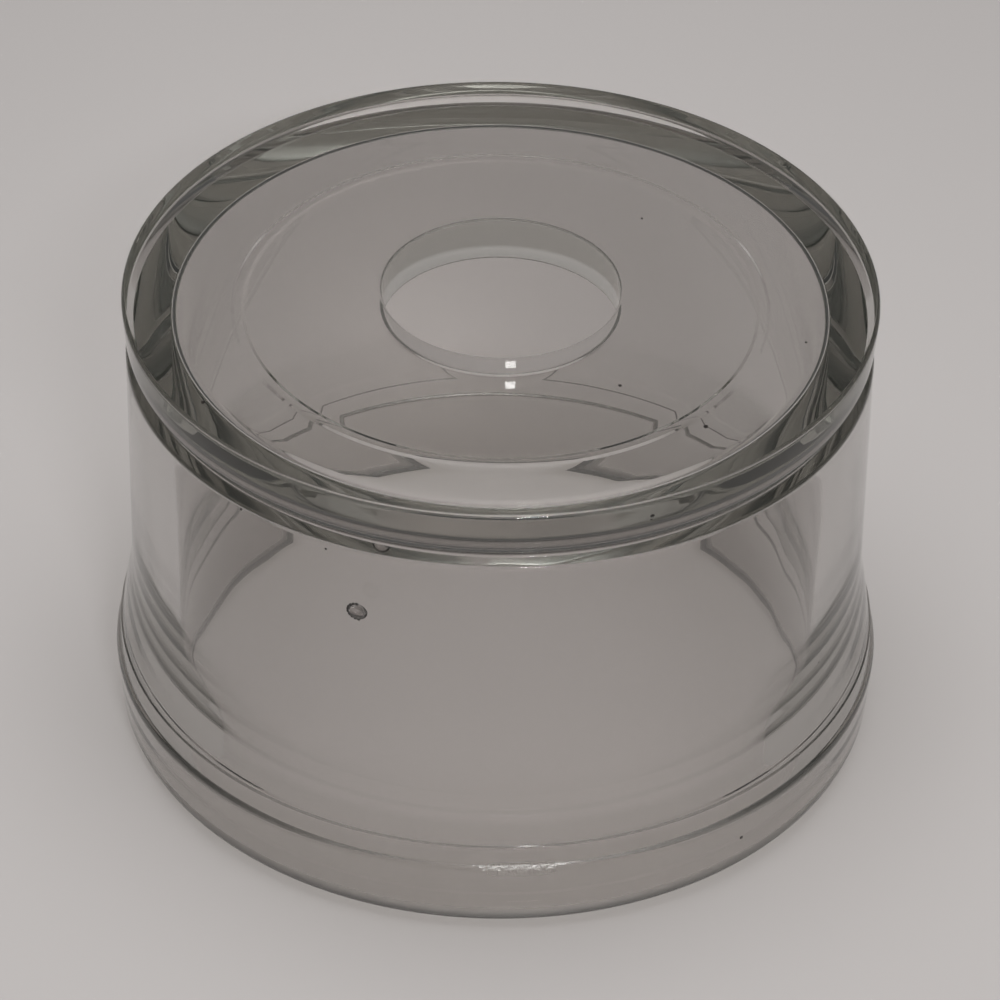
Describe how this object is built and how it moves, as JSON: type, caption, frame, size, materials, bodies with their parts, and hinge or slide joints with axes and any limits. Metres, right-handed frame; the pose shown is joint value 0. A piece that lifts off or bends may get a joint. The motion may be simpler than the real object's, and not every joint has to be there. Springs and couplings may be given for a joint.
{
  "type": "glass sediment bowl",
  "caption": "Round one-piece clear glass bowl with a thick beaded base, a bolt hole through the base and a flared bullnose mouth, standing mouth down.",
  "frame": {"origin": "centre of the mouth rim's plane, on the surface that the bowl stands on", "axes": "+Z along the bowl's axis, from the mouth rim to the base face"},
  "size_m": [0.0878, 0.0878, 0.0566],
  "materials": {
    "glass": "clear pressed glass, faintly grey-green, fire-polished outside"
  },
  "bodies": {
    "root": {"glass_bowl": "glass"}
  },
  "joints": []
}
